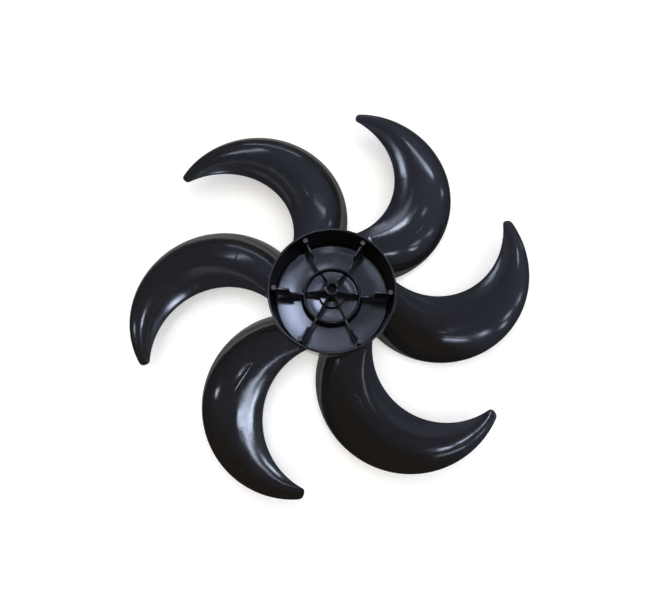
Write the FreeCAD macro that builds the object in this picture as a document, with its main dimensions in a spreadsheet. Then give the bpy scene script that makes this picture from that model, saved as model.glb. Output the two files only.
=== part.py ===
import FreeCAD, Part
import os
import re
import Sketcher
from FreeCAD import Placement, Rotation, Vector

# Rotor of a pedestal fan, moulded in one piece: six swept blades around a cup-shaped hub.
# The motor side of the hub faces up (+Z), its front rests on Z = 0 and the shaft runs along Z.
# The leading edge of a blade is its hollow edge and the trailing edge its bulging one.

doc = FreeCAD.newDocument("fan_blade")

# Driving sizes, in millimetres and degrees. A rise is measured up from the plane of the rim.
SIZES = [
    ("hub_height", 36, "front face to rim"),
    ("rim_radius", 56, "outside of the rim"),
    ("hub_wall", 2.2, "thickness of the cup's wall"),
    ("wall_draft", 3, "lean of the wall out of the mould"),
    ("floor_thickness", 2.5, "floor of the trough around the seat"),
    ("front_bevel", 3, "bevel of the hub's front corner"),
    ("rim_chamfer", 0.5, "bevel of both edges of the rim"),
    ("trough_bevel", 2, "bevel where the trough's floor meets the wall"),
    ("ring_radius", 26, "outside of the ring around the seat"),
    ("ring_wall", 2.2, "thickness of the ring"),
    ("ring_height", 16, "top of the ring"),
    ("seat_height", 10.5, "motor side of the seat inside the ring"),
    ("seat_thickness", 2.5, "wall between the seat and the spinner's recess"),
    ("collar_radius", 11.4, "step around the boss"),
    ("collar_height", 15.5, "top of the collar"),
    ("boss_radius", 5.8, "outside of the boss"),
    ("boss_height", 40.5, "top of the boss"),
    ("shaft_diameter", 8, "motor shaft"),
    ("shaft_clearance", 0.2, "bore larger than the shaft"),
    ("bore_chamfer", 0.8, "lead-in at the top of the bore"),
    ("slot_width", 3, "slot for the pin through the shaft"),
    ("slot_depth", 4, "slot below the top of the boss"),
    ("slot_angle", -13, "direction of the slot"),
    ("rib_thickness", 1.8, "radial ribs"),
    ("rib_angle", -2.5, "direction of the first rib"),
    ("rib_height", 17, "rib's top at its step"),
    ("rib_step", 37.5, "radius of the step"),
    ("rib_end_height", 31, "rib's top at the wall"),
    ("gusset_height", 33, "rib's top at the boss"),
    ("post_diameter", 4.4, "ejector post at the end of a rib"),
    ("post_radius", 50.6, "axis of the posts"),
    ("post_height", 34.5, "top of the posts"),
    ("blade_count", 6, "blades, ribs and posts"),
    ("lead_centre_radius", 108, "centre of the leading edge's arc, from the shaft"),
    ("lead_centre_angle", 32, "direction of that centre"),
    ("lead_arc", 61.3, "radius of the leading edge"),
    ("lead_start_angle", -143, "arc starts inside the hub"),
    ("lead_end_angle", 6, "arc ends at the tip"),
    ("trail_centre_radius", 98.5, "centre of the trailing edge's arc, from the shaft"),
    ("trail_centre_angle", 10.8, "direction of that centre"),
    ("trail_arc", 79, "radius of the trailing edge"),
    ("trail_start_angle", -146, "arc starts inside the hub"),
    ("trail_end_angle", 36.5, "arc ends at the tip"),
    ("lead_root_rise", 2.2, "leading edge at its start"),
    ("lead_mid_rise", -8.5, "leading edge half way"),
    ("lead_tip_rise", -2, "leading edge at the tip"),
    ("trail_root_rise", -30.4, "trailing edge at its start"),
    ("trail_mid_rise", -19.7, "trailing edge half way"),
    ("trail_tip_rise", -4.5, "trailing edge at the tip"),
    ("camber_root", 5.5, "bulge of the section at its start"),
    ("camber_mid", 6.5, "bulge half way"),
    ("camber_tip", 0.2, "bulge at the tip"),
    ("lead_thickness", 2, "blade at its leading edge"),
    ("trail_thickness", 1.5, "blade at its trailing edge"),
    ("tip_bevel", 2.2, "bevel of the tip's corners"),
]
sizes = doc.addObject("Spreadsheet::Sheet", "Sizes")
for row, (name, number, note) in enumerate(SIZES, 1):
    sizes.set(f"A{row}", name)
    sizes.set(f"B{row}", str(number))
    sizes.set(f"C{row}", note)
    sizes.setAlias(f"B{row}", name)
doc.recompute()
NAMES = [entry[0] for entry in SIZES]


def bound(text):
    """Expression in which every named size points at its cell."""
    def cell(found):
        word = found.group()
        return f"Sizes.{word}" if word in NAMES else word
    return re.sub(r"[a-z]\w*", cell, text)


def value(text):
    """Number that an expression of named sizes gives."""
    return float(sizes.evalExpression(bound(text)))


body = doc.addObject("PartDesign::Body", "FanBlade")
body.Label = "fan_blade"
origin = {feature.Role: feature for feature in body.Origin.OriginFeatures}


def new_sketch(name, plane):
    sketch = body.newObject("Sketcher::SketchObject", name)
    sketch.AttachmentSupport = [(origin[plane], "")]
    sketch.MapMode = "FlatFace"
    return sketch


def place(sketch, axis, angle, base=("0", "0", "0")):
    """Turn a sketch about an axis of its plane and shift it, both by expressions."""
    shift = Vector(*[value(text) for text in base])
    sketch.AttachmentOffset = Placement(shift, Rotation(axis, value(angle)))
    sketch.setExpression("AttachmentOffset.Rotation.Angle", bound(angle))
    for direction, text in zip("xyz", base):
        sketch.setExpression(f"AttachmentOffset.Base.{direction}", bound(text))


def hold(sketch, kind, geometry, point, text):
    """Hold a point of a sketch at a distance from the sketch's origin."""
    if text == "0":
        axis = -2 if kind == "DistanceX" else -1
        sketch.addConstraint(Sketcher.Constraint("PointOnObject", geometry, point, axis))
        return
    number = sketch.addConstraint(Sketcher.Constraint(kind, -1, 1, geometry, point, value(text)))
    sketch.setExpression(f"Constraints[{number}]", bound(text))


def outline(sketch, corners):
    """Closed outline of straight lines through corners given as expressions."""
    points = [Vector(value(across), value(up), 0) for across, up in corners]
    count = len(points)
    for index in range(count):
        sketch.addGeometry(Part.LineSegment(points[index], points[(index + 1) % count]), False)
    for index in range(count):
        sketch.addConstraint(Sketcher.Constraint("Coincident", index, 2, (index + 1) % count, 1))
    for index, (across, up) in enumerate(corners):
        hold(sketch, "DistanceX", index, 1, across)
        hold(sketch, "DistanceY", index, 1, up)
    return sketch


def circle(sketch, across, up, diameter):
    """Circle about a point given as expressions."""
    centre = Vector(value(across), value(up), 0)
    sketch.addGeometry(Part.Circle(centre, Vector(0, 0, 1), value(diameter) / 2), False)
    hold(sketch, "DistanceX", 0, 3, across)
    hold(sketch, "DistanceY", 0, 3, up)
    number = sketch.addConstraint(Sketcher.Constraint("Diameter", 0, value(diameter)))
    sketch.setExpression(f"Constraints[{number}]", bound(diameter))
    return sketch


def turned(kind, name, sketch):
    """Full turn of a sketch about the shaft's axis, added or cut away."""
    feature = body.newObject(kind, name)
    feature.Profile = sketch
    feature.ReferenceAxis = (sketch, ["V_Axis"])
    feature.Angle = 360
    doc.recompute()
    return feature


def around(name, feature):
    """Copies of a feature around the shaft, one for each blade."""
    pattern = body.newObject("PartDesign::PolarPattern", name)
    pattern.Originals = [feature]
    pattern.Axis = (origin["Z_Axis"], [""])
    pattern.Angle = 360
    pattern.setExpression("Occurrences", "Sizes.blade_count")
    body.Tip = pattern
    doc.recompute()
    return pattern


# Hub as a solid plug with a drafted wall, before it is hollowed
front_radius = "(rim_radius - hub_height * tan(wall_draft))"
plug = outline(new_sketch("PlugOutline", "XZ_Plane"), [
    ("0", "0"),
    (f"({front_radius} - front_bevel)", "0"),
    (f"({front_radius} + front_bevel * tan(wall_draft))", "front_bevel"),
    ("rim_radius", "(hub_height - rim_chamfer)"),
    ("(rim_radius - rim_chamfer)", "hub_height"),
    ("boss_radius", "hub_height"),
    ("boss_radius", "boss_height"),
    ("0", "boss_height"),
])
turned("PartDesign::Revolution", "Plug", plug)


# Blade, lofted through upright sections that each span from the leading to the trailing edge
def along(root, mid, tip, share):
    """Value that runs through three named sizes, at a share of the way from root to tip."""
    near = (1 - share) * (1 - 2 * share)
    half = 4 * share * (1 - share)
    far = share * (2 * share - 1)
    return f"({near:.6f} * {root} + {half:.6f} * {mid} + {far:.6f} * {tip})"


def edge_point(edge, share):
    """Expressions of the point at a share of the way along a blade's edge."""
    angle = f"({edge}_start_angle + {share} * ({edge}_end_angle - {edge}_start_angle))"
    across = f"({edge}_centre_radius * cos({edge}_centre_angle) + {edge}_arc * cos({angle}))"
    away = f"({edge}_centre_radius * sin({edge}_centre_angle) + {edge}_arc * sin({angle}))"
    rise = along(f"{edge}_root_rise", f"{edge}_mid_rise", f"{edge}_tip_rise", share)
    return across, away, f"(hub_height + {rise})"


def blade_section(name, share):
    """Thin arched strip in an upright plane through both edges of the blade."""
    lead_x, lead_y, lead_z = edge_point("lead", share)
    trail_x, trail_y, trail_z = edge_point("trail", share)
    span = f"sqrt(({trail_x} - {lead_x})^2 + ({trail_y} - {lead_y})^2)"
    chord_squared = f"(({trail_x} - {lead_x})^2 + ({trail_y} - {lead_y})^2 + ({trail_z} - {lead_z})^2)"
    camber = along("camber_root", "camber_mid", "camber_tip", share)
    arch = f"({chord_squared} / 4 + {camber}^2) / (2 * {camber})"

    sketch = new_sketch(name, "XZ_Plane")
    heading = f"atan2({trail_y} - {lead_y}; {trail_x} - {lead_x})"
    place(sketch, Vector(0, 1, 0), heading, (lead_x, "0", f"-1 * {lead_y}"))

    lead = Vector(0, value(lead_z), 0)
    trail = Vector(value(span), value(trail_z), 0)
    normal = Vector(lead.y - trail.y, trail.x, 0).normalize()
    crown = (lead + trail) * 0.5 + normal * value(camber)
    lead_low = lead - Vector(0, value("lead_thickness"), 0)
    trail_low = trail - Vector(0, value("trail_thickness"), 0)
    crown_low = (lead_low + trail_low) * 0.5 + normal * value(camber)
    back = sketch.addGeometry(Part.ArcOfCircle(lead, crown, trail), False)
    trail_edge = sketch.addGeometry(Part.LineSegment(trail, trail_low), False)
    front = sketch.addGeometry(Part.ArcOfCircle(lead_low, crown_low, trail_low), False)
    lead_edge = sketch.addGeometry(Part.LineSegment(lead_low, lead), False)
    # The arcs run from the trailing to the leading side, so their first points are on the right
    sketch.addConstraint([
        Sketcher.Constraint("Coincident", back, 1, trail_edge, 1),
        Sketcher.Constraint("Coincident", trail_edge, 2, front, 1),
        Sketcher.Constraint("Coincident", front, 2, lead_edge, 1),
        Sketcher.Constraint("Coincident", lead_edge, 2, back, 2),
        Sketcher.Constraint("Vertical", trail_edge),
        Sketcher.Constraint("Vertical", lead_edge),
        Sketcher.Constraint("Equal", back, front),
    ])
    hold(sketch, "DistanceX", lead_edge, 2, "0")
    hold(sketch, "DistanceY", lead_edge, 2, lead_z)
    hold(sketch, "DistanceX", trail_edge, 1, span)
    hold(sketch, "DistanceY", trail_edge, 1, trail_z)
    hold(sketch, "DistanceY", lead_edge, 1, f"{lead_z} - lead_thickness")
    hold(sketch, "DistanceY", trail_edge, 2, f"{trail_z} - trail_thickness")
    number = sketch.addConstraint(Sketcher.Constraint("Radius", back, value(arch)))
    sketch.setExpression(f"Constraints[{number}]", bound(arch))
    return sketch


SHARES = (0, 0.2, 0.4, 0.6, 0.8, 1)
sections = [blade_section(f"BladeSection{index}", share) for index, share in enumerate(SHARES, 1)]
doc.recompute()
blade = body.newObject("PartDesign::AdditiveLoft", "Blade")
blade.Profile = sections[0]
blade.Sections = sections[1:]
blade.Ruled = False
doc.recompute()
around("Blades", blade)

# Hollow of the cup around the ring, the seat, the collar and the boss
inner_rim = "(rim_radius - hub_wall)"
inner_floor = f"({inner_rim} - (hub_height - floor_thickness) * tan(wall_draft))"
clear = "(hub_height + boss_height)"
hollow = outline(new_sketch("HollowOutline", "XZ_Plane"), [
    ("0", "boss_height"),
    ("boss_radius", "boss_height"),
    ("boss_radius", "collar_height"),
    ("collar_radius", "collar_height"),
    ("collar_radius", "seat_height"),
    ("(ring_radius - ring_wall)", "seat_height"),
    ("(ring_radius - ring_wall)", "ring_height"),
    ("ring_radius", "ring_height"),
    ("ring_radius", "floor_thickness"),
    (f"({inner_floor} - trough_bevel)", "floor_thickness"),
    (f"({inner_floor} + trough_bevel * tan(wall_draft))", "(floor_thickness + trough_bevel)"),
    (inner_rim, "(hub_height - rim_chamfer)"),
    (f"({inner_rim} + rim_chamfer)", "hub_height"),
    (f"({inner_rim} + rim_chamfer)", clear),
    ("0", clear),
])
turned("PartDesign::Groove", "Cup", hollow)

# Recess of the spinner in the front, under the seat
recess_depth = "(seat_height - seat_thickness)"
recess = outline(new_sketch("RecessOutline", "XZ_Plane"), [
    ("0", "0"),
    ("(ring_radius - ring_wall)", "0"),
    ("(ring_radius - ring_wall)", recess_depth),
    ("0", recess_depth),
])
turned("PartDesign::Groove", "SpinnerRecess", recess)

# Ribs from the boss over the ring to the wall, tall again beyond a step
bore_radius = "((shaft_diameter + shaft_clearance) / 2)"
boss_inside = f"((boss_radius + {bore_radius}) / 2)"
ring_middle = "(ring_radius - ring_wall / 2)"
seat_middle = "(seat_height - seat_thickness / 2)"
floor_middle = "(floor_thickness / 2)"
wall_middle = "(rim_radius - hub_wall / 2 - (hub_height - rib_end_height) * tan(wall_draft))"
rib_outline = new_sketch("RibOutline", "XZ_Plane")
place(rib_outline, Vector(0, 1, 0), "rib_angle")
outline(rib_outline, [
    (boss_inside, seat_middle),
    (ring_middle, seat_middle),
    (ring_middle, floor_middle),
    (inner_floor, floor_middle),
    (wall_middle, "rib_end_height"),
    ("rib_step", "rib_end_height"),
    ("rib_step", "rib_height"),
    (ring_middle, "ring_height"),
    (boss_inside, "gusset_height"),
])
rib = body.newObject("PartDesign::Pad", "Rib")
rib.Profile = rib_outline
rib.SideType = "Symmetric"
rib.setExpression("Length", "Sizes.rib_thickness")
doc.recompute()
around("Ribs", rib)

# Ejector posts where the ribs meet the wall
post_outline = new_sketch("PostOutline", "XY_Plane")
place(post_outline, Vector(0, 0, 1), "rib_angle", ("0", "0", floor_middle))
circle(post_outline, "post_radius", "0", "post_diameter")
post = body.newObject("PartDesign::Pad", "Post")
post.Profile = post_outline
post.setExpression("Length", bound(f"post_height - {floor_middle}"))
doc.recompute()
around("Posts", post)

# Bore of the shaft with a lead-in, and the slot of the pin across the boss
bore_outline = outline(new_sketch("BoreOutline", "XZ_Plane"), [
    ("0", "0"),
    (bore_radius, "0"),
    (bore_radius, "(boss_height - bore_chamfer)"),
    (f"({bore_radius} + bore_chamfer)", "boss_height"),
    ("0", "boss_height"),
])
turned("PartDesign::Groove", "Bore", bore_outline)
slot_reach = "(boss_radius + slot_width)"
slot_outline = new_sketch("SlotOutline", "XY_Plane")
place(slot_outline, Vector(0, 0, 1), "slot_angle", ("0", "0", "boss_height"))
outline(slot_outline, [
    (f"-1 * {slot_reach}", "-1 * slot_width / 2"),
    (slot_reach, "-1 * slot_width / 2"),
    (slot_reach, "slot_width / 2"),
    (f"-1 * {slot_reach}", "slot_width / 2"),
])
slot = body.newObject("PartDesign::Pocket", "PinSlot")
slot.Profile = slot_outline
slot.setExpression("Length", "Sizes.slot_depth")
doc.recompute()

# Bevelled corners of the blades' tips
lead_tip = edge_point("lead", 1)
trail_tip = edge_point("trail", 1)
tip_chord = f"sqrt(({trail_tip[0]} - {lead_tip[0]})^2 + ({trail_tip[1]} - {lead_tip[1]})^2)"
corners = []
for index, edge in enumerate(body.Shape.Edges, 1):
    ends = [vertex.Point for vertex in edge.Vertexes]
    if len(ends) == 2:
        upright = Vector(ends[1].x - ends[0].x, ends[1].y - ends[0].y, 0).Length < 0.001
        if upright and Vector(ends[0].x, ends[0].y, 0).Length > value("rim_radius * 1.5"):
            corners.append(f"Edge{index}")
tips = body.newObject("PartDesign::Chamfer", "TipBevel")
tips.Base = (slot, corners)
tips.setExpression("Size", bound(f"min(tip_bevel; 0.3 * {tip_chord})"))
body.Tip = tips

doc.recompute()
for item in doc.Objects:
    if any(word in item.State for word in ("Invalid", "Error")):
        raise RuntimeError(f"{item.Name} failed: {item.State}")
shape = body.Shape
if shape.isNull() or not shape.isValid() or len(shape.Solids) != 1:
    raise RuntimeError(f"{body.Label} is not one sound solid")
os.makedirs("parts", exist_ok=True)
shape.exportStep(f"parts/{body.Label}.step")
print(body.Label, "volume in cubic centimetres:", round(shape.Volume / 1000, 2))
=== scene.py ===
# %% [markdown]
# # A moulded fan rotor
# This lesson dresses the rotor of a pedestal fan: one black moulding with a cup-shaped hub and
# swept blades. The solid model is loaded first as a fixed frame. It has the true sizes, but its
# edges are square and its faces are made of long triangles, which a glossy black surface shows
# at once. So the same shape is drawn again here with smooth rows of quads and rounded edges.

# %% Load the frame
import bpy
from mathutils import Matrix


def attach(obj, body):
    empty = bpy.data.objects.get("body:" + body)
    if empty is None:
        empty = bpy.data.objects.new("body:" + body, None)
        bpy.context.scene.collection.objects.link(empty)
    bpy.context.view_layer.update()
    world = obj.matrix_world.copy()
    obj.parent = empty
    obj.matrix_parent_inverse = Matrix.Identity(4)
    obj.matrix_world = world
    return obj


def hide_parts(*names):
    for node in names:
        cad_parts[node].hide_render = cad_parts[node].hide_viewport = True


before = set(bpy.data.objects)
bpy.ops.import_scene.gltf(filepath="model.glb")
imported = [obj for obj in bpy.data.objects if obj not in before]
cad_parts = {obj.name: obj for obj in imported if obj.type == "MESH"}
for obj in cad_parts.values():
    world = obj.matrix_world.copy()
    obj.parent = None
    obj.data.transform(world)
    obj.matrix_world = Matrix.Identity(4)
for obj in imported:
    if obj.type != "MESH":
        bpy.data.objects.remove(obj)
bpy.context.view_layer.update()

from math import asin, cos, hypot, pi, radians, sin, sqrt, tan

import bmesh
import bpy
from mathutils import Matrix, Vector

MM = 0.001


# %% [markdown]
# ## One mesh for one moulding
# The real rotor leaves its mould in one piece, so all its parts are gathered in one mesh. Separate
# objects could be joined at the end, but one bmesh that every step adds to is easier to follow.
# Each part is a skin: rows of points with quads between them. A skin can close on itself along a
# row, as around a blade's edge, or from the last row to the first, as around the hub. The skin
# also stores where each point lies along and across it, so that a finish can follow the form.

# %% The mesh and its skins
BLADE, HUB, MARK = 0, 1, 2
moulding = bmesh.new()
flow_layer = moulding.loops.layers.uv.new("Flow")


def skin(rows, material, row_closed=False, rows_closed=False):
    """Quads between neighbouring rows of points, which are given in millimetres."""
    grid = [[moulding.verts.new(point * MM) for point in row] for row in rows]
    row_count, point_count = len(rows), len(rows[0])
    faces = []
    for i in range(row_count - (0 if rows_closed else 1)):
        below = grid[(i + 1) % row_count]
        for j in range(point_count - (0 if row_closed else 1)):
            k = (j + 1) % point_count
            face = moulding.faces.new((grid[i][j], grid[i][k], below[k], below[j]))
            face.material_index = material
            places = ((i, j), (i, j + 1), (i + 1, j + 1), (i + 1, j))
            for loop, (along, across) in zip(face.loops, places):
                loop[flow_layer].uv = (across / point_count, along / row_count)
            faces.append(face)
    return grid, faces


def face_outwards(faces):
    """Turns the faces of a closed form outwards and shades them smoothly."""
    bmesh.ops.recalc_face_normals(moulding, faces=faces)
    for face in faces:
        face.smooth = True


print("an empty mesh with the layer", flow_layer.name)

# %% [markdown]
# ## The hub
# The hub is a cup that opens to the motor. Seen in section it is one closed outline: the drafted
# wall, the floor of the trough, the ring around the raised seat, the collar, the boss with its
# bore, and the recess in the front. Turning that outline about the shaft makes the whole hub. A
# Screw modifier could turn it and a Bevel modifier round it, but with one width for all corners.
# Here every corner has its own rounding, because a mould has no sharp corners, and it is the
# rounded rim and the round lip of the ring that catch the light.

# %% Outline of the hub
HUB_HEIGHT, RIM_RADIUS, HUB_WALL, WALL_DRAFT = 36, 56, 2.2, radians(3)
FLOOR_THICKNESS = 2.5
RING_RADIUS, RING_WALL, RING_HEIGHT = 26, 2.2, 16
SEAT_HEIGHT, SEAT_THICKNESS = 10.5, 2.5
COLLAR_RADIUS, COLLAR_HEIGHT = 11.4, 15.5
BOSS_RADIUS, BOSS_HEIGHT = 5.8, 40.5
BORE_RADIUS, BORE_CHAMFER = 4.1, 0.8
SLOT_WIDTH, SLOT_DEPTH, SLOT_ANGLE = 3, 4, radians(-13)
SHARP, FOOT_FILLET, TROUGH_FILLET, RIM_ROUND, RING_ROUND = 0.01, 0.7, 2.4, 1.0, 1.05


def wall_radius(height):
    """Outside of the hub's wall at a height above the front face."""
    return RIM_RADIUS - (HUB_HEIGHT - height) * tan(WALL_DRAFT)


def rounded(corners, steps=5):
    """Closed outline whose corners, given as (across, up, rounding), are turned into arcs."""
    points = []
    for index, (across, up, rounding) in enumerate(corners):
        here = Vector((across, up))
        back = (Vector(corners[index - 1][:2]) - here).normalized()
        ahead = (Vector(corners[(index + 1) % len(corners)][:2]) - here).normalized()
        half = back.angle(ahead) / 2
        reach = rounding / tan(half)
        centre = here + (back + ahead).normalized() * rounding / sin(half)
        first = here + back * reach - centre
        last = here + ahead * reach - centre
        for step in range(steps + 1):
            arm = first.lerp(last, step / steps).normalized() * rounding
            points.append(centre + arm)
    return points


recess_height = SEAT_HEIGHT - SEAT_THICKNESS
slot_floor = BOSS_HEIGHT - SLOT_DEPTH
ring_inside = RING_RADIUS - RING_WALL
floor_radius = wall_radius(FLOOR_THICKNESS) - HUB_WALL
hub_outline = rounded([
    (BORE_RADIUS, recess_height, 0.4),
    (BORE_RADIUS, slot_floor, SHARP),
    (BOSS_RADIUS, slot_floor, SHARP),
    (BOSS_RADIUS, COLLAR_HEIGHT, FOOT_FILLET),
    (COLLAR_RADIUS, COLLAR_HEIGHT, 0.8),
    (COLLAR_RADIUS, SEAT_HEIGHT, FOOT_FILLET),
    (ring_inside, SEAT_HEIGHT, FOOT_FILLET),
    (ring_inside, RING_HEIGHT, RING_ROUND),
    (RING_RADIUS, RING_HEIGHT, RING_ROUND),
    (RING_RADIUS, FLOOR_THICKNESS, TROUGH_FILLET),
    (floor_radius, FLOOR_THICKNESS, TROUGH_FILLET),
    (RIM_RADIUS - HUB_WALL, HUB_HEIGHT, RIM_ROUND),
    (RIM_RADIUS, HUB_HEIGHT, RIM_ROUND),
    (wall_radius(0), 0, 3.0),
    (ring_inside, 0, 0.6),
    (ring_inside, recess_height, 0.8),
])
print("points in the hub's outline:", len(hub_outline))

# %% Turn the outline about the shaft
HUB_SEGMENTS = 180


def turned(outline, centre, segments):
    """Rows of points: the outline at equal steps around an upright axis."""
    rows = []
    for step in range(segments):
        angle = 2 * pi * step / segments
        way = Vector((cos(angle), sin(angle), 0))
        rows.append([centre + way * point.x + Vector((0, 0, point.y)) for point in outline])
    return rows


hub_rows = turned(hub_outline, Vector(), HUB_SEGMENTS)
hub_faces = skin(hub_rows, HUB, row_closed=True, rows_closed=True)[1]
face_outwards(hub_faces)
print("quads in the hub:", len(hub_faces))

# %% [markdown]
# The boss ends in two ears with a slot between them, where the pin through the motor's shaft
# sits. A cut with a box would leave ragged faces on the round wall. Instead the section of the
# ear is swept from one side of the slot to the other, and each point of it stops where its own
# circle meets the flat side of the slot, so both ends come out flat.

# %% Ears of the boss
EAR_STEPS = 40
ear_outline = rounded([
    (BORE_RADIUS, slot_floor, SHARP),
    (BORE_RADIUS, BOSS_HEIGHT - BORE_CHAMFER, 0.2),
    (BORE_RADIUS + BORE_CHAMFER, BOSS_HEIGHT, 0.2),
    (BOSS_RADIUS, BOSS_HEIGHT, 0.35),
    (BOSS_RADIUS, slot_floor, SHARP),
], steps=3)
for start in (SLOT_ANGLE, SLOT_ANGLE + pi):
    rows = []
    for step in range(EAR_STEPS + 1):
        row = []
        for point in ear_outline:
            slot_half = asin(SLOT_WIDTH / 2 / point.x)
            angle = start + slot_half + (pi - 2 * slot_half) * step / EAR_STEPS
            row.append(Vector((point.x * cos(angle), point.x * sin(angle), point.y)))
        rows.append(row)
    ear_grid, ear_faces = skin(rows, HUB, row_closed=True)
    for end in (ear_grid[0][::-1], ear_grid[-1]):
        cap = moulding.faces.new(end)
        cap.material_index = HUB
        ear_faces.append(cap)
    face_outwards(ear_faces)
print("faces in one ear:", len(ear_faces))

# %% [markdown]
# ## Ribs and posts
# Radial ribs stiffen the cup. Each one starts high at the boss, falls as a gusset to the ring,
# runs low across the trough and stands up again at the wall, where the round post is that the
# mould pushes the part out by. A rib could be cut from a box with booleans. As it is a flat plate,
# it is simpler to extrude its outline and to round the edges with a small bevel. What lies
# inside the hub's walls is hidden and can stay plain. The posts are turned like the hub.

# %% Ribs
BLADE_COUNT = 6
RIB_ANGLE, RIB_THICKNESS, RIB_BEVEL = radians(-2.5), 1.8, 0.35
RIB_STEP, RIB_HEIGHT, RIB_END_HEIGHT, GUSSET_HEIGHT = 37.5, 17, 31, 33


def plate(outline, thickness, bevel, angle, material):
    """Upright plate through the shaft's axis, with rounded edges."""
    way = Vector((cos(angle), sin(angle), 0))
    aside = Vector((-sin(angle), cos(angle), 0))
    sides = []
    for shift in (-thickness / 2, thickness / 2):
        points = [way * across + aside * shift + Vector((0, 0, up)) for across, up in outline]
        sides.append([moulding.verts.new(point * MM) for point in points])
    count = len(outline)
    faces = [moulding.faces.new(sides[0]), moulding.faces.new(sides[1][::-1])]
    for j in range(count):
        k = (j + 1) % count
        faces.append(moulding.faces.new((sides[0][k], sides[0][j], sides[1][j], sides[1][k])))
    edges = list({edge for face in faces for edge in face.edges})
    made = bmesh.ops.bevel(
        moulding, geom=edges, offset=bevel * MM, segments=3, profile=0.5, affect="EDGES")
    faces = list(set([face for face in faces if face.is_valid] + made["faces"]))
    for face in faces:
        face.material_index = material
    face_outwards(faces)
    return faces


wall_middle = wall_radius(RIB_END_HEIGHT) - HUB_WALL / 2
ring_middle = RING_RADIUS - RING_WALL / 2
boss_middle = (BOSS_RADIUS + BORE_RADIUS) / 2
seat_middle = SEAT_HEIGHT - SEAT_THICKNESS / 2
rib_outline = [
    (boss_middle, seat_middle),
    (ring_middle, seat_middle),
    (ring_middle, FLOOR_THICKNESS / 2),
    (floor_radius, FLOOR_THICKNESS / 2),
    (wall_middle, RIB_END_HEIGHT),
    (RIB_STEP, RIB_END_HEIGHT),
    (RIB_STEP, RIB_HEIGHT),
    (ring_middle, RING_HEIGHT),
    (boss_middle, GUSSET_HEIGHT),
]
turns = [2 * pi * k / BLADE_COUNT for k in range(BLADE_COUNT)]
rib_faces = [plate(rib_outline, RIB_THICKNESS, RIB_BEVEL, RIB_ANGLE + turn, HUB) for turn in turns]
print("faces in the ribs:", sum(len(faces) for faces in rib_faces))

# %% Posts
POST_RADIUS, POST_PLACE, POST_HEIGHT = 2.2, 50.6, 34.5
POST_SEGMENTS, PINHOLE, MARK_DEPTH = 28, 0.05, 0.1

post_outline = rounded([
    (PINHOLE, FLOOR_THICKNESS / 2, SHARP),
    (POST_RADIUS, FLOOR_THICKNESS / 2, SHARP),
    (POST_RADIUS, POST_HEIGHT, 0.3),
    (PINHOLE, POST_HEIGHT, SHARP),
], steps=3)
for turn in turns:
    angle = RIB_ANGLE + turn
    centre = Vector((cos(angle), sin(angle), 0)) * POST_PLACE
    rows = turned(post_outline, centre, POST_SEGMENTS)
    post_faces = skin(rows, HUB, row_closed=True, rows_closed=True)[1]
    face_outwards(post_faces)
    for face in post_faces:
        if face.calc_center_median().z > (POST_HEIGHT - MARK_DEPTH) * MM:
            face.material_index = MARK
print("posts:", len(turns))

# %% [markdown]
# ## The blades
# Seen along the shaft, each edge of a blade is an arc: a hollow one that leads and a bulging one
# that trails. Between them every section is a shallow arch. The section leans steeply at the hub
# and flattens towards the tip, which gives the blade its twist. A subdivided cage could be pulled
# into that form by hand, but it would drift from the solid. The back and front faces are therefore
# sampled from the same few sizes as the solid, and small curves are put in where the solid has
# square corners: around both edges, at the tip and where the blade grows out of the hub.

# %% The form of one blade
LEAD = dict(
    centre=(108, radians(32)), arc=61.3,
    sweep=(radians(-143), radians(6)), rise=(2.2, -8.5, -2))
TRAIL = dict(
    centre=(98.5, radians(10.8)), arc=79,
    sweep=(radians(-146), radians(36.5)), rise=(-30.4, -19.7, -4.5))
CAMBER = (5.5, 6.5, 0.2)
LEAD_THICKNESS, TRAIL_THICKNESS = 2.0, 1.5
BACK, FRONT = 0, 1


def along(sizes, share):
    """Size at a share of the way from root to tip, run through three given ones."""
    root, middle, tip = sizes
    near = (1 - share) * (1 - 2 * share)
    far = share * (2 * share - 1)
    return near * root + 4 * share * (1 - share) * middle + far * tip


def edge_point(edge, share):
    """Point of a blade's edge, on its back face."""
    radius, heading = edge["centre"]
    start, end = edge["sweep"]
    angle = start + share * (end - start)
    across = radius * cos(heading) + edge["arc"] * cos(angle)
    away = radius * sin(heading) + edge["arc"] * sin(angle)
    return Vector((across, away, HUB_HEIGHT + along(edge["rise"], share)))


def arch_point(side, across, share):
    """Point of the back or front face, with across 0 at the leading and 1 at the trailing edge."""
    lead, trail = edge_point(LEAD, share), edge_point(TRAIL, share)
    if side == FRONT:
        lead.z -= LEAD_THICKNESS
        trail.z -= TRAIL_THICKNESS
    chord = trail - lead
    level = hypot(chord.x, chord.y)
    up = Vector((-chord.z * chord.x / level, -chord.z * chord.y / level, level)).normalized()
    bulge = along(CAMBER, share)
    radius = (chord.length_squared / 4 + bulge ** 2) / (2 * bulge)
    turn = (2 * across - 1) * asin(chord.length / 2 / radius)
    out = chord.normalized() * radius * sin(turn)
    lift = up * (radius * (cos(turn) - 1) + bulge)
    return (lead + trail) / 2 + out + lift


lead_turn = LEAD["sweep"][1] - LEAD["sweep"][0]
print("length of the leading edge:", round(LEAD["arc"] * lead_turn, 1), "mm")

# %% A rounded section
EDGE_ROUND, EDGE_LIMIT = 0.75, 0.48
FACE_STEPS, CORNER_STEPS = 26, 4
TIP_ROUND, TIP_LENGTH, TIP_THINNING = 3.0, 200.0, 0.44

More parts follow.
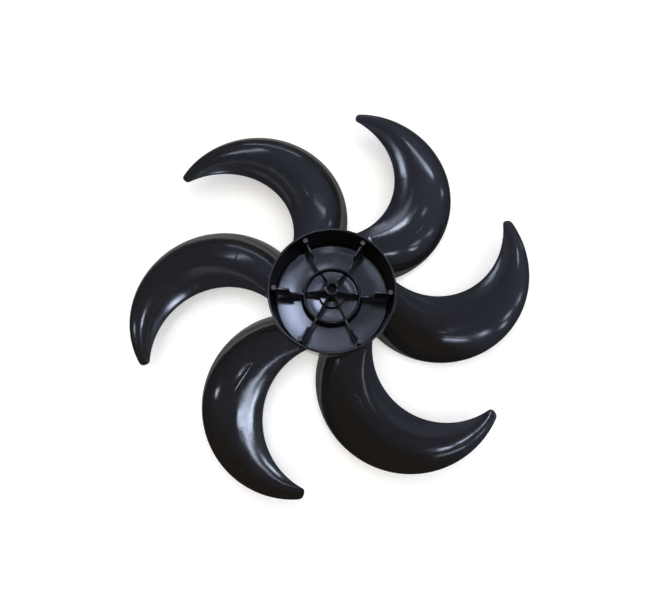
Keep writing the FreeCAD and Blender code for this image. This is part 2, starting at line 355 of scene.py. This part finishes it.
face_shares = [step / FACE_STEPS for step in range(FACE_STEPS + 1)]
corner_shares = [(step + 1) / (CORNER_STEPS + 1) for step in range(CORNER_STEPS)]
stations = [(BACK, share, None) for share in face_shares]
stations += [("trail", BACK, share) for share in corner_shares]
stations += [("trail", FRONT, 1 - share) for share in corner_shares]
stations += [(FRONT, 1 - share, None) for share in face_shares]
stations += [("lead", FRONT, share) for share in corner_shares]
stations += [("lead", BACK, 1 - share) for share in corner_shares]


def bend(first, corner, last, share):
    """Point of a small curve that rounds a corner."""
    return first * (1 - share) ** 2 + corner * 2 * share * (1 - share) + last * share ** 2


def section_point(station, share):
    """Point of the rounded section at a share of the way from root to tip."""
    left = (1 - share) * TIP_LENGTH
    drawn_in = TIP_ROUND - sqrt(max(TIP_ROUND ** 2 - max(TIP_ROUND - left, 0) ** 2, 0))
    chord = (edge_point(TRAIL, share) - edge_point(LEAD, share)).length
    lead_thin = LEAD_THICKNESS * TIP_THINNING * (drawn_in / TIP_ROUND) ** 2
    trail_thin = TRAIL_THICKNESS * TIP_THINNING * (drawn_in / TIP_ROUND) ** 2
    border = drawn_in / chord
    inner = border + EDGE_ROUND / chord
    where, value, blend = station
    if where in (BACK, FRONT):
        across = inner + (1 - 2 * inner) * value
        point = arch_point(where, across, share)
        point.z += (lead_thin * (1 - value) + trail_thin * value) * (1 if where == FRONT else -1)
        return point
    thin = trail_thin if where == "trail" else lead_thin
    thickness = TRAIL_THICKNESS if where == "trail" else LEAD_THICKNESS
    inwards = 1 if value == FRONT else -1
    at_edge, at_face = (1 - border, 1 - inner) if where == "trail" else (border, inner)
    shift = Vector((0, 0, inwards * thin))
    face = arch_point(value, at_face, share) + shift
    corner = arch_point(value, at_edge, share) + shift
    side = corner + Vector((0, 0, inwards * min(EDGE_ROUND, EDGE_LIMIT * (thickness - 2 * thin))))
    return bend(face, corner, side, blend)


print("points around one section:", len(stations))

# %% Root of the blade
ROOT_FILLET, FOOT_SINK, BLADE_LENGTH = 1.6, 0.03, 190
ROOT_LIMIT, HALVINGS, NEAR_MIDDLE = 0.4, 40, 0.2


def root_share(station):
    """Share at which a line of the blade comes out of the hub's wall."""
    low, high = 0.0, ROOT_LIMIT
    for halving in range(HALVINGS):
        middle = (low + high) / 2
        point = section_point(station, middle)
        if hypot(point.x, point.y) < wall_radius(point.z):
            low = middle
        else:
            high = middle
    return high


roots = [root_share(station) for station in stations]
feet = [section_point(station, share) for station, share in zip(stations, roots)]
starts = [share + ROOT_FILLET / BLADE_LENGTH for share in roots]
tops = [section_point(station, share) for station, share in zip(stations, starts)]
feet_middle = sum(feet, Vector()) / len(feet)


def wall_foot(index):
    """Point on the hub's wall where the fillet around the blade's root ends."""
    here = feet[index]
    before, after = feet[index - 1], feet[(index + 1) % len(feet)]
    out = Vector((here.x, here.y, 0)).normalized()
    aside = (after - before).cross(out).normalized()
    if aside.dot(here - feet_middle) < -NEAR_MIDDLE:
        aside = -aside
    point = here + aside * ROOT_FILLET
    sunk = wall_radius(point.z) - FOOT_SINK
    return Vector((point.x, point.y, 0)).normalized() * sunk + Vector((0, 0, point.z))


wall_feet = [wall_foot(index) for index in range(len(feet))]
print("the blade leaves the wall between shares", round(min(roots), 3), "and", round(max(roots), 3))

# %% Rows from root to tip
FILLET_STEPS, SPAN_STEPS, TIP_STEPS = 5, 66, 8

blade_rows = []
for step in range(FILLET_STEPS):
    blade_rows.append([bend(*points, step / FILLET_STEPS) for points in zip(wall_feet, feet, tops)])
tip_start = 1 - TIP_ROUND / TIP_LENGTH
for step in range(SPAN_STEPS):
    shares = [start + (tip_start - start) * step / SPAN_STEPS for start in starts]
    blade_rows.append([section_point(station, share) for station, share in zip(stations, shares)])
for step in range(TIP_STEPS + 1):
    share = 1 - TIP_ROUND / TIP_LENGTH * (1 - sin(pi / 2 * step / TIP_STEPS))
    blade_rows.append([section_point(station, share) for station in stations])
print("rows along a blade:", len(blade_rows))

# %% Copies around the hub
blade_faces = 0
for turn in turns:
    rotation = Matrix.Rotation(turn, 3, "Z")
    rows = [[rotation @ point for point in row] for row in blade_rows]
    grid, faces = skin(rows, BLADE, row_closed=True)
    cap = moulding.faces.new(grid[-1])
    cap.material_index = BLADE
    root = moulding.faces.new(grid[0][::-1])
    root.material_index = BLADE
    face_outwards(faces + [cap, root])
    blade_faces += len(faces)
print("quads in the blades:", blade_faces)

# %% [markdown]
# ## The pads
# The back of every blade carries a faint pad, no higher than two sheets of paper are thick. Its end
# towards the hub is round and clear, and the other end runs out into the blade. A bump could fake
# it, but its border shows as a crisp line in the gloss. It is too small for the rows of the blade,
# so it is a patch of its own that lies on the blade: its border dips just under the surface and
# the rest stands a little above it. Points are chosen as seen along the shaft and then lifted on
# to the blade, which needs a short search each.

# %% Height of a pad
PAD_START, PAD_END, PAD_WIDTH = Vector((90.8, -33.1)), Vector((132.4, -35.2)), 14.5
PAD_RISE, PAD_SINK, PAD_SLOPE, PAD_FADE = 0.18, 0.04, 1.4, 0.75
SEARCH_STEPS = 12

pad_way = (PAD_END - PAD_START).normalized()
pad_aside = Vector((-pad_way.y, pad_way.x))
pad_length, pad_half = (PAD_END - PAD_START).length, PAD_WIDTH / 2


def on_blade(target):
    """Point of the back face over a point given in plan, and the direction that face looks in."""
    across, share, step = 0.5, 0.5, 1e-4
    for attempt in range(SEARCH_STEPS):
        here = arch_point(BACK, across, share)
        sideways = (arch_point(BACK, across + step, share) - here) / step
        onwards = (arch_point(BACK, across, share + step) - here) / step
        miss = target - here.xy
        turn = sideways.x * onwards.y - sideways.y * onwards.x
        across += (miss.x * onwards.y - miss.y * onwards.x) / turn
        share += (sideways.x * miss.y - sideways.y * miss.x) / turn
    normal = sideways.cross(onwards).normalized()
    return here, normal if normal.z > 0 else -normal


def eased(share):
    """Share held between 0 and 1, with a gentle start and end."""
    share = min(max(share, 0), 1)
    return share ** 2 * (3 - 2 * share)


def pad_height(inside, reach):
    """Height of the pad over the blade, from how far inside its border and along it a point is."""
    climb = eased(inside / PAD_SLOPE)
    fade = eased((pad_length - reach) / (PAD_FADE * pad_length))
    return -PAD_SINK + (PAD_RISE + PAD_SINK) * climb * fade


print("length of a pad:", round(pad_length + pad_half, 1), "mm")

# %% Pads on the blades
PAD_COLUMNS = (1, 0.96, 0.92, 0.88, 0.84, 0.8, 0.76, 0.72, 0.6, 0.4)
PAD_STEPS, PAD_CROWDING, PAD_END_WIDTH = 44, 1.6, 0.2

columns = [-column for column in PAD_COLUMNS] + [0] + list(PAD_COLUMNS[::-1])
pad_rows = []
for step in range(PAD_STEPS + 1):
    reach = -pad_half + (pad_length + pad_half) * (step / PAD_STEPS) ** PAD_CROWDING
    width = max(sqrt(max(pad_half ** 2 - max(-reach, 0) ** 2, 0)), PAD_END_WIDTH)
    row = []
    for column in columns:
        point, normal = on_blade(PAD_START + pad_way * reach + pad_aside * (width * column))
        inside = pad_half - hypot(max(-reach, 0), width * column)
        row.append(point + normal * pad_height(inside, reach))
    pad_rows.append(row)
for turn in turns:
    rotation = Matrix.Rotation(turn, 3, "Z")
    pad_faces = skin([[rotation @ point for point in row] for row in pad_rows], BLADE)[1]
    moulding.normal_update()
    if sum(face.normal.z for face in pad_faces) < 0:
        bmesh.ops.reverse_faces(moulding, faces=pad_faces)
    for face in pad_faces:
        face.smooth = True
print("quads in one pad:", len(pad_faces))

# %% [markdown]
# ## In place of the solid
# The finished mesh becomes one object that takes the place of the solid's only node. Its faces are
# shaded smoothly, which suits a moulding, but the slot and the ribs have true corners. The mesh
# could be split there. Marking edges as sharp by their angle does the same and keeps it whole.

# %% Hand the moulding over
SHARP_ANGLE = radians(50)
mesh = bpy.data.meshes.new("rotor_moulding")
moulding.to_mesh(mesh)
moulding.free()
mesh.set_sharp_from_angle(angle=SHARP_ANGLE)
rotor = bpy.data.objects.new("rotor_moulding", mesh)
bpy.context.scene.collection.objects.link(rotor)
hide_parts("fan_blade")
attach(rotor, "root")
print("triangles:", sum(len(polygon.vertices) - 2 for polygon in mesh.polygons))

# %% [markdown]
# ## Effects of the finish
# Glossy black plastic is seen by what it mirrors, so small faults of its surface matter more than
# its colour. Four effects are made once as node groups and used with different strengths on the
# blades, on the hub and on the ends of the posts: the slight waves that a moulding cools with,
# faint streaks along the way the plastic flowed, hairline scratches from handling, and dust that
# settles on level faces. They could be painted by hand, but a painted picture has edges and a fixed
# size. Noise in the space of the object has neither, and the streaks follow the rows of the mesh.

# %% Helpers for node groups
def new_group(name, inputs, outputs):
    """Empty shader group with named number inputs (name, default) and outputs."""
    group = bpy.data.node_groups.new(name, "ShaderNodeTree")
    for label, default in inputs:
        socket = group.interface.new_socket(label, in_out="INPUT", socket_type="NodeSocketFloat")
        socket.default_value = default
    for label in outputs:
        group.interface.new_socket(label, in_out="OUTPUT", socket_type="NodeSocketFloat")
    return group, group.nodes.new("NodeGroupInput"), group.nodes.new("NodeGroupOutput")


def node(tree, kind, **settings):
    """New node with its properties set."""
    made = tree.nodes.new(kind)
    for key, setting in settings.items():
        setattr(made, key, setting)
    return made


def calc(tree, operation, first, second=None, clamp=False):
    """Number worked out from two sockets or plain numbers."""
    made = node(tree, "ShaderNodeMath", operation=operation, use_clamp=clamp)
    for socket, given in zip(made.inputs, (first, second)):
        if isinstance(given, (int, float)):
            socket.default_value = given
        elif given is not None:
            tree.links.new(given, socket)
    return made.outputs[0]


def ramp(tree, value, low, high):
    """Number that runs from 0 to 1 while the value runs from low to high."""
    made = node(tree, "ShaderNodeMapRange", interpolation_type="SMOOTHSTEP")
    made.inputs["From Min"].default_value = low
    made.inputs["From Max"].default_value = high
    tree.links.new(value, made.inputs["Value"])
    return made.outputs["Result"]


def noise(tree, vector, scale, detail=2.0, rough=0.5, twist=0.0):
    """Cloudy number around a half, with a scale given as a number or a socket."""
    made = node(tree, "ShaderNodeTexNoise")
    tree.links.new(vector, made.inputs["Vector"])
    if isinstance(scale, (int, float)):
        made.inputs["Scale"].default_value = scale
    else:
        tree.links.new(scale, made.inputs["Scale"])
    made.inputs["Detail"].default_value = detail
    made.inputs["Roughness"].default_value = rough
    made.inputs["Distortion"].default_value = twist
    return made.outputs["Fac"]


def stretched(tree, vector, factors, turn=(0, 0, 0)):
    """Coordinates turned and then drawn out, so that a noise becomes lines."""
    made = node(tree, "ShaderNodeMapping", vector_type="TEXTURE")
    made.inputs["Scale"].default_value = [1 / factor for factor in factors]
    made.inputs["Rotation"].default_value = turn
    tree.links.new(vector, made.inputs["Vector"])
    return made.outputs["Vector"]


print("helpers:", [helper.__name__ for helper in (new_group, node, calc, ramp, noise, stretched)])

# %% Waves of the cooled surface
PEEL_SIZE, PEEL_SHARE, CLOUD_SIZE = 700.0, 0.05, 14.0
waves, given, result = new_group("moulding_waves", [("Wave Size", 30.0)], ["Height", "Cloud"])
place = node(waves, "ShaderNodeTexCoord").outputs["Object"]
slow = noise(waves, place, given.outputs["Wave Size"], detail=2.6)
peel = noise(waves, place, PEEL_SIZE, detail=2.0)
peel_part = calc(waves, "MULTIPLY", peel, PEEL_SHARE)
waves.links.new(calc(waves, "ADD", slow, peel_part), result.inputs["Height"])
waves.links.new(noise(waves, place, CLOUD_SIZE, detail=4.0, twist=0.6), result.inputs["Cloud"])
print(waves.name, "gives", [socket.name for socket in result.inputs if socket.name])

# %% Streaks along the flow
STREAK_STRETCH = (1.0, 0.05, 1.0)
streaks, given, result = new_group("flow_streaks", [("Fineness", 60.0)], ["Streak"])
flow = node(streaks, "ShaderNodeUVMap", uv_map="Flow").outputs["UV"]
drawn = stretched(streaks, flow, STREAK_STRETCH)
lines = noise(streaks, drawn, given.outputs["Fineness"], detail=3.0, rough=0.6, twist=0.2)
streaks.links.new(ramp(streaks, lines, 0.42, 0.72), result.inputs["Streak"])
print(streaks.name, "gives", [socket.name for socket in result.inputs if socket.name])

# %% Hairline scratches
SCRATCH_STRETCH, SCRATCH_TURNS = (300.0, 9.0, 40.0), (0.35, 1.45, 2.3)
PATCH_SIZE, PATCH_STEP = 21.0, 8.0
scratches, given, result = new_group("hairline_scratches", [("Width", 0.012)], ["Scratch"])
place = node(scratches, "ShaderNodeTexCoord").outputs["Object"]
found = None
for number, turn in enumerate(SCRATCH_TURNS):
    drawn = stretched(scratches, place, SCRATCH_STRETCH, (0.0, 0.0, turn))
    field = noise(scratches, drawn, 1.0, detail=0.0, twist=0.15)
    away = calc(scratches, "ABSOLUTE", calc(scratches, "SUBTRACT", field, 0.5))
    widths_away = calc(scratches, "DIVIDE", away, given.outputs["Width"])
    near = calc(scratches, "SUBTRACT", 1.0, widths_away, clamp=True)
    cloud = noise(scratches, place, PATCH_SIZE + PATCH_STEP * number, detail=1.0)
    patch = ramp(scratches, cloud, 0.62, 0.74)
    line = calc(scratches, "MULTIPLY", near, patch)
    found = line if found is None else calc(scratches, "MAXIMUM", found, line)
scratches.links.new(found, result.inputs["Scratch"])
print(scratches.name, "gives", [socket.name for socket in result.inputs if socket.name])

# %% Dust on level faces
FILM_SIZE, GRAIN_SIZE, GRAIN_RADIUS, GRAIN_PATCH_SIZE = 38.0, 260.0, 0.09, 95.0
dust, given, result = new_group("settled_dust", [("Amount", 0.5)], ["Film", "Speck"])
place = node(dust, "ShaderNodeTexCoord").outputs["Object"]
split = node(dust, "ShaderNodeSeparateXYZ")
dust.links.new(node(dust, "ShaderNodeNewGeometry").outputs["Normal"], split.inputs["Vector"])
level = ramp(dust, split.outputs["Z"], 0.45, 1.0)
cloud = ramp(dust, noise(dust, place, FILM_SIZE, detail=4.0), 0.38, 0.75)
film = calc(dust, "MULTIPLY", calc(dust, "MULTIPLY", level, cloud), given.outputs["Amount"])
grains = node(dust, "ShaderNodeTexVoronoi")
grains.inputs["Scale"].default_value = GRAIN_SIZE
dust.links.new(place, grains.inputs["Vector"])
small = calc(dust, "LESS_THAN", grains.outputs["Distance"], GRAIN_RADIUS)
sparse = calc(dust, "GREATER_THAN", noise(dust, place, GRAIN_PATCH_SIZE, detail=1.0), 0.6)
lying = calc(dust, "MULTIPLY", level, given.outputs["Amount"])
speck = calc(dust, "MULTIPLY", calc(dust, "MULTIPLY", small, sparse), lying)
dust.links.new(film, result.inputs["Film"])
dust.links.new(speck, result.inputs["Speck"])
print(dust.name, "gives", [socket.name for socket in result.inputs if socket.name])

# %% [markdown]
# ## The three finishes
# Blades and hub are the same black plastic: nearly no colour of its own, and a clear mirror on top.
# The blades have the taller waves. The hub has the crisper mirror, but more flow streaks and more
# dust. The ends of the posts, where the mould pushed, are a dull grey. Three materials could be
# built one by one, but one function makes all of them, because only the strengths differ.
# Roughness decides how crisp the lamps look in a finish.

# %% One finish
DUST_GREY = (0.2, 0.19, 0.18)
FILM_SHARE, SPECK_SHARE = 0.03, 0.5
CLOUD_DULLS, SCRATCH_DULLS, DUST_DULLS = 0.07, 0.12, 0.12


def black_plastic(name, black, roughness, wave_height, streak_share, values):
    """Material of one region, with its own strength of every effect and values for its groups."""
    material = bpy.data.materials.new(name)
    material.use_nodes = True
    tree = material.node_tree
    shader = tree.nodes["Principled BSDF"]
    shader.inputs["IOR"].default_value = 1.5

    def effect(group):
        made = node(tree, "ShaderNodeGroup", node_tree=group)
        for socket in made.inputs:
            socket.default_value = values[socket.name]
        return made.outputs

    wavy = effect(waves)
    streaky = effect(streaks)
    scratched = effect(scratches)
    dusty = effect(dust)

    tint = node(tree, "ShaderNodeMix", data_type="RGBA")
    tint.inputs["A"].default_value = (*black, 1)
    tint.inputs["B"].default_value = (*DUST_GREY, 1)
    film = calc(tree, "MULTIPLY", dusty["Film"], FILM_SHARE)
    speck = calc(tree, "MULTIPLY", dusty["Speck"], SPECK_SHARE)
    tree.links.new(calc(tree, "ADD", film, speck), tint.inputs["Factor"])
    tree.links.new(tint.outputs["Result"], shader.inputs["Base Color"])

    dulling = (
        (streaky["Streak"], streak_share),
        (scratched["Scratch"], SCRATCH_DULLS),
        (dusty["Film"], DUST_DULLS),
    )
    dull = calc(tree, "MULTIPLY", wavy["Cloud"], CLOUD_DULLS)
    for mask, share in dulling:
        dull = calc(tree, "ADD", dull, calc(tree, "MULTIPLY", mask, share))
    tree.links.new(calc(tree, "ADD", dull, roughness, clamp=True), shader.inputs["Roughness"])

    bump = node(tree, "ShaderNodeBump")
    bump.inputs["Distance"].default_value = 1.0
    tree.links.new(calc(tree, "MULTIPLY", wavy["Height"], wave_height), bump.inputs["Height"])
    tree.links.new(bump.outputs["Normal"], shader.inputs["Normal"])
    mesh.materials.append(material)


print("a finish mixes", [group.name for group in (waves, streaks, scratches, dust)])

# %% Blades, hub and ends of the posts
black_plastic(
    "blade_gloss_black", black=(0.0032, 0.003, 0.003), roughness=0.07, wave_height=0.0003,
    streak_share=0.03, values={"Wave Size": 30.0, "Fineness": 60.0, "Width": 0.012, "Amount": 0.3})
black_plastic(
    "hub_gloss_black", black=(0.0032, 0.0032, 0.0036), roughness=0.055, wave_height=0.00014,
    streak_share=0.09, values={"Wave Size": 30.0, "Fineness": 60.0, "Width": 0.012, "Amount": 0.4})
black_plastic(
    "post_mark_grey", black=(0.045, 0.045, 0.047), roughness=0.4, wave_height=0.0001,
    streak_share=0.05, values={"Wave Size": 30.0, "Fineness": 60.0, "Width": 0.012, "Amount": 0.5})
print("finishes:", [material.name for material in mesh.materials])

# %% [markdown]
# ## Floor and room
# The rotor lies on white paper in a plain studio. More lamps could make the paper white, but they
# would also wash out the rotor. So the paper has some light of its own, only for rays that look at
# it straight, in a mirror or through glass, and it still shows the soft shadow. Under the hub that
# glow is taken away, which paints shade into the bore so that it looks dark. The room is brighter
# on one side and darker on another, which the gloss shows as a slow change from blade to blade.

# %% White paper
FLOOR_HALF, PAPER_WHITE, PAPER_GLOW = 6, (0.82, 0.81, 0.79), 0.42
# Painted shade: within the first radius the paper's glow is gone, and beyond the second it is full.
SHADE_PAINTED_RADIUS, GLOW_FULL_RADIUS = 0.026, 0.045
floor_mesh = bpy.data.meshes.new("floor")
corners = [(x * FLOOR_HALF, y * FLOOR_HALF, 0) for x, y in ((-1, -1), (1, -1), (1, 1), (-1, 1))]
floor_mesh.from_pydata(corners, [], [(0, 1, 2, 3)])
floor = bpy.data.objects.new("floor", floor_mesh)
bpy.context.scene.collection.objects.link(floor)
paper = bpy.data.materials.new("white_paper")
paper.use_nodes = True
floor_mesh.materials.append(paper)


def seen_directly(tree):
    """1 for rays that look at a surface straight, in a mirror or through glass."""
    rays = node(tree, "ShaderNodeLightPath")
    mirrored = calc(tree, "MAXIMUM", rays.outputs["Is Glossy Ray"], rays.outputs["Is Transmission Ray"])
    return calc(tree, "MAXIMUM", rays.outputs["Is Camera Ray"], mirrored)


sheet = paper.node_tree
sheet_shader = sheet.nodes["Principled BSDF"]
sheet_shader.inputs["Base Color"].default_value = (*PAPER_WHITE, 1)
sheet_shader.inputs["Roughness"].default_value = 0.9
sheet_shader.inputs["Specular IOR Level"].default_value = 0.0
sheet_shader.inputs["Emission Color"].default_value = (1, 1, 1, 1)
distance = node(sheet, "ShaderNodeVectorMath", operation="LENGTH")
sheet.links.new(node(sheet, "ShaderNodeTexCoord").outputs["Object"], distance.inputs["Vector"])
# Painted shade under the hub: the glow fades out towards the shaft, so the bore looks dark.
lit = ramp(sheet, distance.outputs["Value"], SHADE_PAINTED_RADIUS, GLOW_FULL_RADIUS)
glow = calc(sheet, "MULTIPLY", calc(sheet, "MULTIPLY", seen_directly(sheet), lit), PAPER_GLOW)
sheet.links.new(glow, sheet_shader.inputs["Emission Strength"])
print("floor of", floor.dimensions.x, "m")

# %% Room
PLAIN_WALL, WINDOW = (0.28, 0.29, 0.38), (0.54, 0.62, 0.88)
DARK_WALL, BELOW = (0.21, 0.175, 0.14), (0.13, 0.13, 0.14)
world = bpy.data.worlds.new("studio")
world.use_nodes = True
bpy.context.scene.world = world
room = world.node_tree
room_light = room.nodes["Background"]
way = node(room, "ShaderNodeSeparateXYZ")
room.links.new(node(room, "ShaderNodeTexCoord").outputs["Generated"], way.inputs["Vector"])


def towards(x, y, low, high):
    """0 to 1 for directions that point more and more one way in plan."""
    across = calc(room, "MULTIPLY", way.outputs["X"], x)
    away = calc(room, "MULTIPLY", way.outputs["Y"], y)
    return ramp(room, calc(room, "ADD", across, away), low, high)


def shaded(factor, first, second):
    """Colour between two colours or sockets."""
    made = node(room, "ShaderNodeMix", data_type="RGBA")
    room.links.new(factor, made.inputs["Factor"])
    for label, colour in (("A", first), ("B", second)):
        if isinstance(colour, tuple):
            made.inputs[label].default_value = (*colour, 1)
        else:
            room.links.new(colour, made.inputs[label])
    return made.outputs["Result"]


window_side = shaded(towards(0.95, 0.3, -0.2, 0.9), PLAIN_WALL, WINDOW)
all_sides = shaded(towards(0.55, 0.83, -0.6, -0.2), DARK_WALL, window_side)
whole_room = shaded(ramp(room, way.outputs["Z"], -0.1, 0.6), BELOW, all_sides)
room.links.new(whole_room, room_light.inputs["Color"])
print("room:", world.name)

# %% [markdown]
# ## Plain lamps
# The lamps are soft boxes in the ceiling. Black gloss shows their shapes as streaks, so where they
# hang decides what the blades look like. A picture of a studio could light the scene instead, but
# a lamp can be moved by itself. It is given by its two ends, its width and how bright it looks, and
# its power follows from these. One large warm sheet lifts the level of the whole scene. It isn't
# seen in the gloss, where it would lie as a grey veil over the blades.

# %% Soft boxes
CEILING = 0.9
DAYLIGHT, SKYLIGHT, WARM = (0.7, 0.8, 1.0), (0.62, 0.71, 1.0), (1.0, 0.93, 0.72)


def soft_box(name, start, end, width, radiance, aim=None, grid=None, height=CEILING):
    """Lamp between two points. A grid keeps its beam within so many degrees of where it is aimed."""
    start, end = Vector((*start, height)), Vector((*end, height))
    middle = (start + end) / 2
    data = bpy.data.lights.new(name, "AREA")
    data.shape = "RECTANGLE"
    data.size, data.size_y = (end - start).length, width
    data.energy = radiance * pi * data.size * data.size_y
    data.color = DAYLIGHT
    back = Vector((0, 0, 1))
    if aim:
        back = (middle - Vector(aim)).normalized()
        half_beam = radians(grid)
        data.spread = 2 * half_beam
        data.energy *= 1 - half_beam / tan(half_beam)
    side = back.cross(end - start).normalized()
    lamp = bpy.data.objects.new(name, data)
    turn = Matrix((side.cross(back), side, back)).transposed()
    lamp.matrix_world = Matrix.Translation(middle) @ turn.to_4x4()
    lamp.visible_camera = False
    bpy.context.scene.collection.objects.link(lamp)
    return lamp


soft_box("overhead_sheet", (-0.12, 0.24), (0.3, 0.24), 0.6, 0.3, height=CEILING + 0.1)
soft_box("left_bar", (-0.42, 0.5), (-0.26, 0.2), 0.06, 0.9)
soft_box("back_tube", (-0.3, 1.0), (-0.05, 1.6), 0.1, 6)
soft_box("far_back_tube", (-0.5, 3.0), (1.0, 3.2), 0.3, 5)
fill = soft_box("fill_sheet", (-1.2, 0.0), (1.2, 0.0), 2.4, 1.35, height=2 * CEILING)
fill.visible_glossy = False
fill.data.color = WARM
print("plain lamps:", [lamp.name for lamp in bpy.data.lights])

# %% [markdown]
# ## Lamps with grids
# A bare lamp shows in several blades at once, but each blade of the real rotor has highlights of
# its own. A photographer would put a grid in front of a soft box, which keeps its light on one
# place, and here the lamp's spread does that. A long lamp with a grid only works near its middle,
# so a long highlight takes a row of short lamps that are all aimed at one place. Gaps in the row
# turn the highlight into dashes. Where two places mirror the same spot of the ceiling, a lamp that
# hangs lower tells them apart.

# %% Lamps over the cup
MIDWAY = 0.5
CUP, CUP_SECTOR = (-0.02, -0.01, 0.003), (-0.035, -0.02, 0.003)
cup_lamps = [
    soft_box("cup_key", (-0.05, 0.126), (-0.106, 0.04), 0.085, 21, CUP_SECTOR, 9, MIDWAY),
    soft_box("cup_fill", (-0.13, 0.275), (-0.05, 0.265), 0.08, 4.4, CUP, 9),
    soft_box("cup_front", (-0.05, 0.11), (0.08, 0.11), 0.13, 2.7, CUP, 12),
    soft_box("cup_side", (0.02, 0.245), (0.065, 0.25), 0.04, 9, CUP, 12),
]
for lamp in cup_lamps:
    lamp.data.color = SKYLIGHT
print("lamps over the cup:", len(cup_lamps))

# %% Lamps over the blades
LOW, RAISED = 0.35, CEILING + 0.05


def lamp_row(name, count, start, end, *settings, lit=1.0):
    """Row of soft boxes between two points, all aimed at one place, with a lit share of its length."""
    start, end = Vector(start), Vector(end)
    for k in range(count):
        first, last = start.lerp(end, k / count), start.lerp(end, (k + lit) / count)
        soft_box(f"{name}_{k + 1}", first, last, *settings)


FRONT_LEFT_BLADE = (-0.07, -0.106, 0.029)
FRONT_LEFT_TIP = (-0.049, -0.148, 0.031)
FRONT_LEFT_BACK = (-0.097, -0.088, 0.024)
lamp_row("front_left_key", 8, (-0.37, -0.062), (0.06, -0.06), 0.055, 32, FRONT_LEFT_BLADE, 4)
soft_box("front_left_tip", (-0.05, 0.07), (0.07, 0.13), 0.1, 32, FRONT_LEFT_TIP, 4.5)
soft_box("far_left_lamp", (-1.85, 0.37), (-1.65, 0.35), 0.14, 44, FRONT_LEFT_BACK, 2.4)

LEFT_BLADE = (-0.136, -0.01, 0.029)
LEFT_TIP = (-0.162, -0.027, 0.031)
soft_box("left_key", (-0.16, -0.06), (0.03, -0.05), 0.19, 46, LEFT_BLADE, 6, RAISED)
soft_box("left_lamp", (-0.82, 0.32), (-0.7, 0.29), 0.07, 44, LEFT_TIP, 3.5)

BACK_RIGHT_BLADE = (0.064, 0.12, 0.03)
BACK_RIGHT_ROOT = (0.056, 0.061, 0.031)
BACK_RIGHT_EDGE = (0.088, 0.12, 0.027)
BACK_RIGHT_FOOT = (0.062, 0.039, 0.023)
soft_box("back_panel", (-0.13, 0.43), (0.04, 0.48), 0.12, 18, BACK_RIGHT_BLADE, 8)
soft_box("back_right_hook", (0.165, 0.158), (0.215, 0.125), 0.035, 34, BACK_RIGHT_ROOT, 8, LOW)
lamp_row("back_right_glow", 6, (0.105, 0.31), (0.15, 0.17), 0.035, 8, BACK_RIGHT_ROOT, 4, LOW)
lamp_row("right_tube", 6, (0.48, 0.8), (1.2, 0.86), 0.09, 20, BACK_RIGHT_EDGE, 3)
soft_box("right_far_tube", (1.85, 0.87), (2.4, 0.87), 0.09, 12, BACK_RIGHT_EDGE, 3)
lamp_row("front_right_tube", 2, (0.68, -0.66), (1.75, -0.72), 0.12, 16, BACK_RIGHT_FOOT, 4, lit=0.5)

RIGHT_BLADE = (0.107, -0.041, 0.024)
RIGHT_SIDE = (0.137, 0.011, 0.029)
RIGHT_TIP = (0.164, 0.033, 0.031)
RIGHT_EDGE = (0.15, -0.025, 0.025)
soft_box("right_lamp", (0.8, 0.27), (1.02, 0.28), 0.07, 30, RIGHT_TIP, 2.5)
soft_box("right_back_bar", (-0.02, 0.48), (0.14, 0.52), 0.1, 12, RIGHT_SIDE, 6, RAISED)
lamp_row("front_bar", 4, (0.28, -0.73), (0.6, -0.75), 0.13, 15, RIGHT_BLADE, 4)
lamp_row("right_edge_tube", 3, (0.68, -0.7), (2.05, -0.15), 0.11, 12, RIGHT_EDGE, 4.5, lit=0.6)

FRONT_RIGHT_BLADE = (0.108, -0.124, 0.03)
lamp_row("front_tube", 3, (0.24, -0.52), (0.5, -0.27), 0.06, 36, FRONT_RIGHT_BLADE, 4, lit=0.65)

# %% [markdown]
# ## The camera
# The picture was taken from close by, a little below the shaft's axis, so the near blades look
# larger than the far ones. A camera can be placed by eye, but then the blades never quite fit. This
# one was fitted to their outline: how far it leans and rolls, how far the rotor is shifted in its
# view, how far away it is, and the length of its lens in pixels.

# %% Camera
bpy.context.scene.view_settings.view_transform = "Standard"
LEAN, ROLL, SHIFT = radians(13.27), radians(0.36), Vector((-3.466, 12.157, 0))
DISTANCE, FOCAL_PIXELS, IMAGE_WIDTH, SENSOR = 467.575, 543.79, 672, 36
look = Matrix.Rotation(ROLL, 3, "Y") @ Matrix.Rotation(-LEAN, 3, "X")
camera_data = bpy.data.cameras.new("camera")
camera_data.sensor_fit = "HORIZONTAL"
camera_data.sensor_width = SENSOR
camera_data.lens = FOCAL_PIXELS * SENSOR / IMAGE_WIDTH
camera = bpy.data.objects.new("camera", camera_data)
spot = (look.transposed() @ (Vector((0, 0, DISTANCE)) - SHIFT) + Vector((0, 0, HUB_HEIGHT))) * MM
camera.matrix_world = Matrix.Translation(spot) @ look.transposed().to_4x4()
bpy.context.scene.collection.objects.link(camera)
bpy.context.scene.camera = camera
print("camera at", [round(x, 3) for x in spot], "with a lens of", round(camera_data.lens, 1), "mm")
